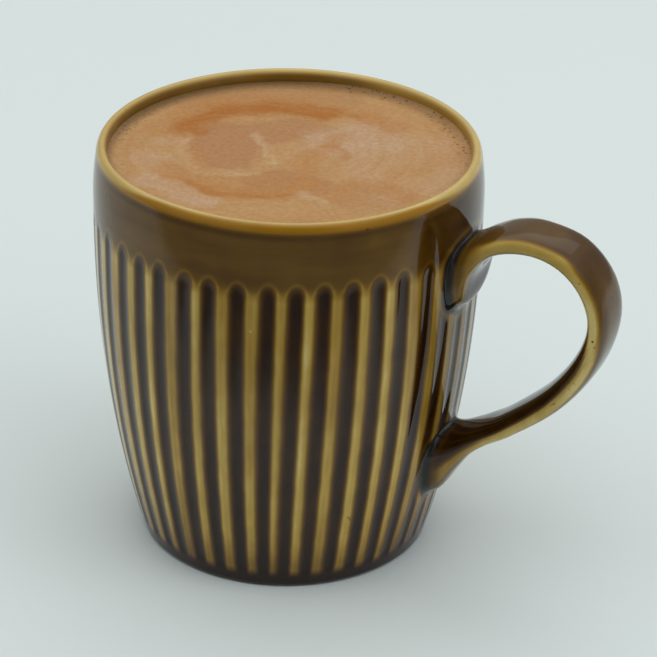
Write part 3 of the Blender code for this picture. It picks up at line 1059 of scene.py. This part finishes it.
crema = {
    "base": (0.515, 0.275, 0.105),
    "baseDark": (0.95, 0.90, 0.84),  # shares of the base where the crema drifts darker, and lighter
    "baseLight": (1.04, 1.08, 1.14),
    "orange": (0.425, 0.145, 0.018),
    "amber": (0.485, 0.215, 0.060),
    "brown": (0.452, 0.214, 0.084),
    "pink": (0.545, 0.330, 0.185),
    "pale": (0.600, 0.385, 0.215),
    "ragged": (("brown", 3.6), ("pink", 3.6), ("amber", 4.4), ("orange", 3.2), ("pale", 2.8)),
    # brown froth at the drink's edge, darkened further as painted shade under the cup's wall, most at the back
    "frothAndShade": (0.130, 0.075, 0.030),
    "frothShadeWidth": ((-180, 1.4), (-150, 0.5), (-30, 0.5), (0, 1.5), (25, 3.4), (60, 5.0), (90, 6.4), (120, 5.6),
                   (150, 3.6), (180, 1.4)),  # in mm
    "frothShadeEdge": 37.5,  # in mm from the middle, where the froth and its painted shade are full
    "frothShadeStrength": ((-180, 0.5), (-150, 0.15), (-30, 0.1), (10, 0.1), (28, 0.4), (55, 0.6), (85, 1.0),
                      (120, 1.0), (150, 0.9), (180, 0.5)),
    "bubble": (0.10, 0.062, 0.032),
    "bubbles": (1150.0, 0.42, 0.62),  # cells in a metre, size in cells, share of cells
    "bubblesFrom": (34.0, 35.2),  # in mm from the middle, where they start and where they are full
    "bubbleStrength": ((-180, 0.5), (-150, 0.0), (-20, 0.0), (5, 0.9), (40, 1.0), (80, 1.0), (95, 0.3),
                       (120, 0.3), (150, 0.7), (180, 0.5)),
    "speck": {"Red": (0.44, 0.78), "Green": (0.64, 0.68), "Blue": (0.86, 0.57)},  # strength, least
    "streaks": (1.0, 5.0, 0.62, 0.6),  # scale, detail, roughness, distortion
    "wisps": (0.34, 6.0, 0.60, 1.4),
    "mottle": (900.0, 3.0, 0.65),
    "fine": (2200.0, 2.0),
    "bump": (0.25, 0.0001),
    "roughness": 0.46,
    "ior": 1.30,
    "patternTurn": 25.0,
    "swirlMiddle": (-8.0, 2.0),
    "swirlSquash": 0.80,
    "swirlTwist": 0.022,  # radians for each millimetre out
}

# strokes in millimetres, in axes turned by patternTurn: tone, points, half width, softness, strength
strokes = (
    ("brown", ((-13.6, 9), (-16, 3.5), (-12.5, -3)), 4.6, 2.4, 1),
    ("brown", ((-13, 1.5), (-9.5, 4), (-11.5, 10)), 3.4, 2.6, 0.90),
    ("brown", ((-5.6, 11), (2, 12.5), (4.5, 10.5)), 4, 3, 0.85),
    ("brown", ((-4, -13.5), (1.5, -14), (4, -16)), 3.2, 3.5, 0.85),
    ("brown", ((14, -21), (20, -20)), 2.6, 5, 0.45),
    # the next stroke, along the back edge, is painted shade from the cup's back wall
    ("brown", ((-20, 24.5), (-9, 29.5), (2, 29.5), (12, 29)), 1.5, 4, 0.50),
    ("pink", ((9, 6), (15.5, 9.5), (19, 7.5)), 4, 5, 0.85),
    ("pink", ((12, 1.5), (17, 2)), 1.5, 4.5, 0.60),
    ("pink", ((-28, -14), (-23, -18.5), (-17.5, -23)), 2, 3, 0.85),
    ("pink", ((-28, 4.6), (-24.2, 5.8)), 0.8, 2.2, 0.50),
    ("pink", ((24, -2), (30, 6)), 2, 6, 0.30),
    ("pink", ((33, 1), (33, -9), (27, -16), (21, -20)), 1, 5, 0.40),
    ("pink", ((15.1, 4.5), (16, -4), (15.9, -12.2)), 2, 5, 0.35),
    ("pink", ((-29.5, -3.6), (-25.3, -8.4)), 1.5, 4.5, 0.50),
    ("pale", ((-7.2, 9.3), (-6.2, 6.1), (-5.3, 2.3), (-4.8, -1.5)), 0.1, 1.3, 0.60),
    ("pale", ((-4.9, -2.1), (-3.4, -1.2), (-2.3, -3.6), (-3.5, -5.4), (-4.8, -4.4)), 0.05, 0.9, 0.45),
    ("pale", ((-21.6, 8), (-22.4, 1.5), (-20.4, -6), (-16.4, -10.4), (-12.2, -11.2), (-7.6, -9.6)),
     0.2, 2.1, 0.32),
    ("pale", ((3, -19.8), (5.1, -21.3), (7.6, -22.9)), 0.3, 1.6, 0.55),
    ("amber", ((-27, 11.6), (-22.5, 19), (-16.3, 24.6), (-8.7, 27), (2, 26.4)), 1.2, 4.5, 0.55),
    ("amber", ((-24.7, -8.5), (-21.4, -13.6), (-16.1, -17.6), (-10.8, -19.6), (-5.1, -19.6), (1, -17.8),
               (4.4, -14)), 1, 3.8, 0.85),
    ("amber", ((2, -17), (4.6, -11.5), (3.4, -6)), 0.8, 3.5, 0.55),
    ("amber", ((9.2, -20), (13.3, -15.8), (17.4, -15), (22.1, -17), (24.1, -20.4)), 0.8, 4, 0.60),
    ("amber", ((26.9, -7.4), (30.6, -3.5), (34.4, 0.5)), 0.8, 3.8, 0.28),
    ("amber", ((9.4, 22.4), (16.4, 20), (22.4, 13.6)), 0.8, 4.5, 0.55),
    ("amber", ((-20.6, 1), (-19.4, -6), (-16.8, -10.6), (-12, -13.6), (-6, -13.4), (-1.5, -12.2)),
     0.5, 3, 0.60),
    ("amber", ((9.8, 8.4), (8.4, 3.2), (4, -2), (2.3, -5.6)), 0.6, 3.2, 0.55),
    ("orange", ((-21.8, 10.5), (-20.4, 15), (-15.6, 19.8), (-10.8, 22.3), (-4.3, 23.2), (1.2, 22.8),
                (7.4, 21)), 1, 4.6, 0.95),
    ("orange", ((5, 22.6), (11, 20.6), (15, 19.4)), 0.1, 2.2, 0.50),
    ("orange", ((-20.9, -15), (-16.1, -18.6), (-10.8, -21), (-5.1, -21.6), (-0.4, -20.6)), 0.1, 1.8, 0.42),
    ("orange", ((8.2, 3.8), (10.3, 4.2), (11.7, 1.7), (11.2, -1.9)), 0.1, 1.5, 0.42),
)


def strokeDistance(x, y, points):
    best = np.full(x.shape, 1e9)
    for (ax, ay), (bx, by) in zip(points, points[1:]):
        dx, dy = bx - ax, by - ay
        t = np.clip(((x - ax) * dx + (y - ay) * dy) / (dx * dx + dy * dy), 0, 1)
        best = np.minimum(best, np.hypot(x - ax - dx * t, y - ay - dy * t))
    return best


def driftedPlace(x, y):
    # bends the strokes a little, as a stirred surface does
    for reach, length, turn in ((0.45, 11.0, 0.4), (0.35, 5.3, 2.1), (0.25, 2.7, 4.0)):
        waveX = np.sin((x * math.cos(turn) + y * math.sin(turn)) * 2 * math.pi / length + turn * 3)
        waveY = np.sin((y * math.cos(turn) - x * math.sin(turn)) * 2 * math.pi / length + turn * 5)
        x = x + reach * waveY
        y = y + reach * waveX
    return x, y


def cremaTones(x, y):
    # how strong each tone is, point by point
    tones = {tone: np.zeros(x.shape) for tone, _ in crema["ragged"]}
    driftX, driftY = driftedPlace(x, y)
    for tone, points, half, soft, strength in strokes:
        near = easedField((half + soft - strokeDistance(driftX, driftY, points)) / soft) * strength
        tones[tone] = np.maximum(tones[tone], near)
    reach = np.hypot(x, y)
    direction = np.degrees(np.arctan2(y, x))
    # the froth and painted shade at the edge
    band = readTable(direction, crema["frothShadeWidth"])
    frothAndShade = easedField((reach - (crema["frothShadeEdge"] - band)) / band)
    tones["frothAndShade"] = frothAndShade * readTable(direction, crema["frothShadeStrength"])
    bubbles = np.interp(reach, crema["bubblesFrom"], (0, 1))
    tones["bubble"] = bubbles * readTable(direction, crema["bubbleStrength"])
    return tones


def cremaFlow(x, y):
    # coordinates that swirl round one place, on which the streaks are drawn
    middleX, middleY = crema["swirlMiddle"]
    across, ahead = (x - middleX) * crema["swirlSquash"], y - middleY
    around = np.hypot(across, ahead)
    turned = np.arctan2(ahead, across) + around * crema["swirlTwist"]
    return np.stack([around * 0.1375 * np.cos(turned), around * 0.62,
                     np.cos(turned) * 2.2 + np.sin(turned * 2) * 0.4], axis=1)


def makeCremaMaterial(settings, spots):
    material, tree, shader = newMaterial("crema_foam")
    place = addNode(tree, "TexCoord").outputs["Object"]
    flow = attributeOf(tree, "flow", "Vector")
    streaks = noiseNode(tree, flow, *settings["streaks"])
    wisps = noiseNode(tree, flow, *settings["wisps"])
    drift = maths(tree, 'MULTIPLY_ADD', streaks, 0.55, maths(tree, 'MULTIPLY', wisps, 0.45))
    shade = rangeNode(tree, drift, 0.36, 0.64, kind='LINEAR')
    dark, light = [tuple(part * share for part, share in zip(settings["base"], settings[name]))
                   for name in ("baseDark", "baseLight")]
    colour = blendColours(tree, shade, dark, light)
    edge = maths(tree, 'SUBTRACT', drift, 0.5)
    for tone, ragged in settings["ragged"]:
        torn = maths(tree, 'MULTIPLY_ADD', edge, ragged, 1.0)
        strength = maths(tree, 'MULTIPLY', attributeOf(tree, tone + "Tone"), torn)
        strength = addNode(tree, "Clamp", {"Value": strength}).outputs["Result"]
        colour = blendColours(tree, strength, colour, settings[tone])
    # froth and painted shade under the cup's wall
    frothAndShade = maths(tree, 'MULTIPLY', attributeOf(tree, "frothAndShadeTone"), 0.85)
    colour = blendColours(tree, frothAndShade, colour, settings["frothAndShade"])
    bubbles = placeSpots(tree, spots, place, *settings["bubbles"])
    bubbles = maths(tree, 'MULTIPLY', bubbles, attributeOf(tree, "bubbleTone"))
    colour = blendColours(tree, maths(tree, 'MULTIPLY', bubbles, 0.85), colour, settings["bubble"])
    mottle = noiseNode(tree, place, *settings["mottle"])
    speck = {name: maths(tree, 'MULTIPLY_ADD', mottle, *parts) for name, parts in settings["speck"].items()}
    speck = addNode(tree, "CombineColor", speck).outputs["Color"]
    tree.links.new(blendColours(tree, 1.0, colour, speck, 'MULTIPLY'), shader.inputs["Base Color"])
    shader.inputs["Roughness"].default_value = settings["roughness"]
    shader.inputs["IOR"].default_value = settings["ior"]
    fine = noiseNode(tree, place, *settings["fine"])
    addBump(tree, shader, maths(tree, 'MULTIPLY_ADD', bubbles, -0.6, fine), *settings["bump"])
    return material


def drinkForm():
    # a flat surface that climbs the wall at its edge, over a body that fills the cup
    d = drink
    edge = cupRadius(d["level"]) + d["intoWall"]
    flat = edge - d["meniscusWidth"]
    count = round(flat / d["ringStep"])
    profile = [(flat * i / count, d["level"]) for i in range(count + 1)]
    profile += [(flat + d["meniscusWidth"] * (step + 1) / d["meniscusSteps"], d["level"])
                for step in range(d["meniscusSteps"])]
    profile += [(cupRadius(z) - d["gap"], z) for z in (0.0790, 0.0600, 0.0440, 0.0300, 0.0190)]
    fillet = mugBody["floorFillet"]
    corner = mugBody["floor"] + fillet
    for degrees in (0, 45, 90):
        turn = math.radians(degrees)
        profile.append((cupRadius(corner) - fillet + (fillet - d["gap"]) * math.cos(turn),
                        corner - (fillet - d["gap"]) * math.sin(turn)))
    profile.append((0.0, mugBody["floor"] + d["gap"]))

    turnStep = 2 * math.pi / d["columns"]
    directions = np.degrees(np.arange(d["columns"]) * turnStep) - crema["patternTurn"]
    rises = 0.001 * readTable((directions + 180) % 360 - 180, d["meniscusRise"])

    def place(column, radius, z, row):
        angle = column * turnStep
        if z < d["level"]:
            return rimPlace(angle, radius, z), angle, z
        climb = rises[column] * max((radius - flat) / d["meniscusWidth"], 0.0) ** 2.2
        return radius * rimPlace(angle, edge, z) / edge, angle, z + climb

    return rolledForm(profile, d["columns"], place)


def makeDrink():
    piece = finishPiece("espressoDrink", drinkForm(), makeCremaMaterial(crema, spotsGroup))
    count = len(piece.data.vertices)
    places = np.empty(count * 3)
    piece.data.vertices.foreach_get("co", places)
    places = places.reshape(-1, 3) * 1000
    turn = math.radians(crema["patternTurn"])
    x = places[:, 0] * math.cos(turn) + places[:, 1] * math.sin(turn)
    y = places[:, 1] * math.cos(turn) - places[:, 0] * math.sin(turn)
    layer = piece.data.attributes.new("flow", 'FLOAT_VECTOR', 'POINT')
    layer.data.foreach_set("vector", cremaFlow(x, y).astype(np.float32).ravel())
    for tone, values in cremaTones(x, y).items():
        layer = piece.data.attributes.new(tone + "Tone", 'FLOAT', 'POINT')
        layer.data.foreach_set("value", values.astype(np.float32))
    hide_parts("espresso")
    print("drink:", len(piece.data.polygons), "faces")


makeDrink()
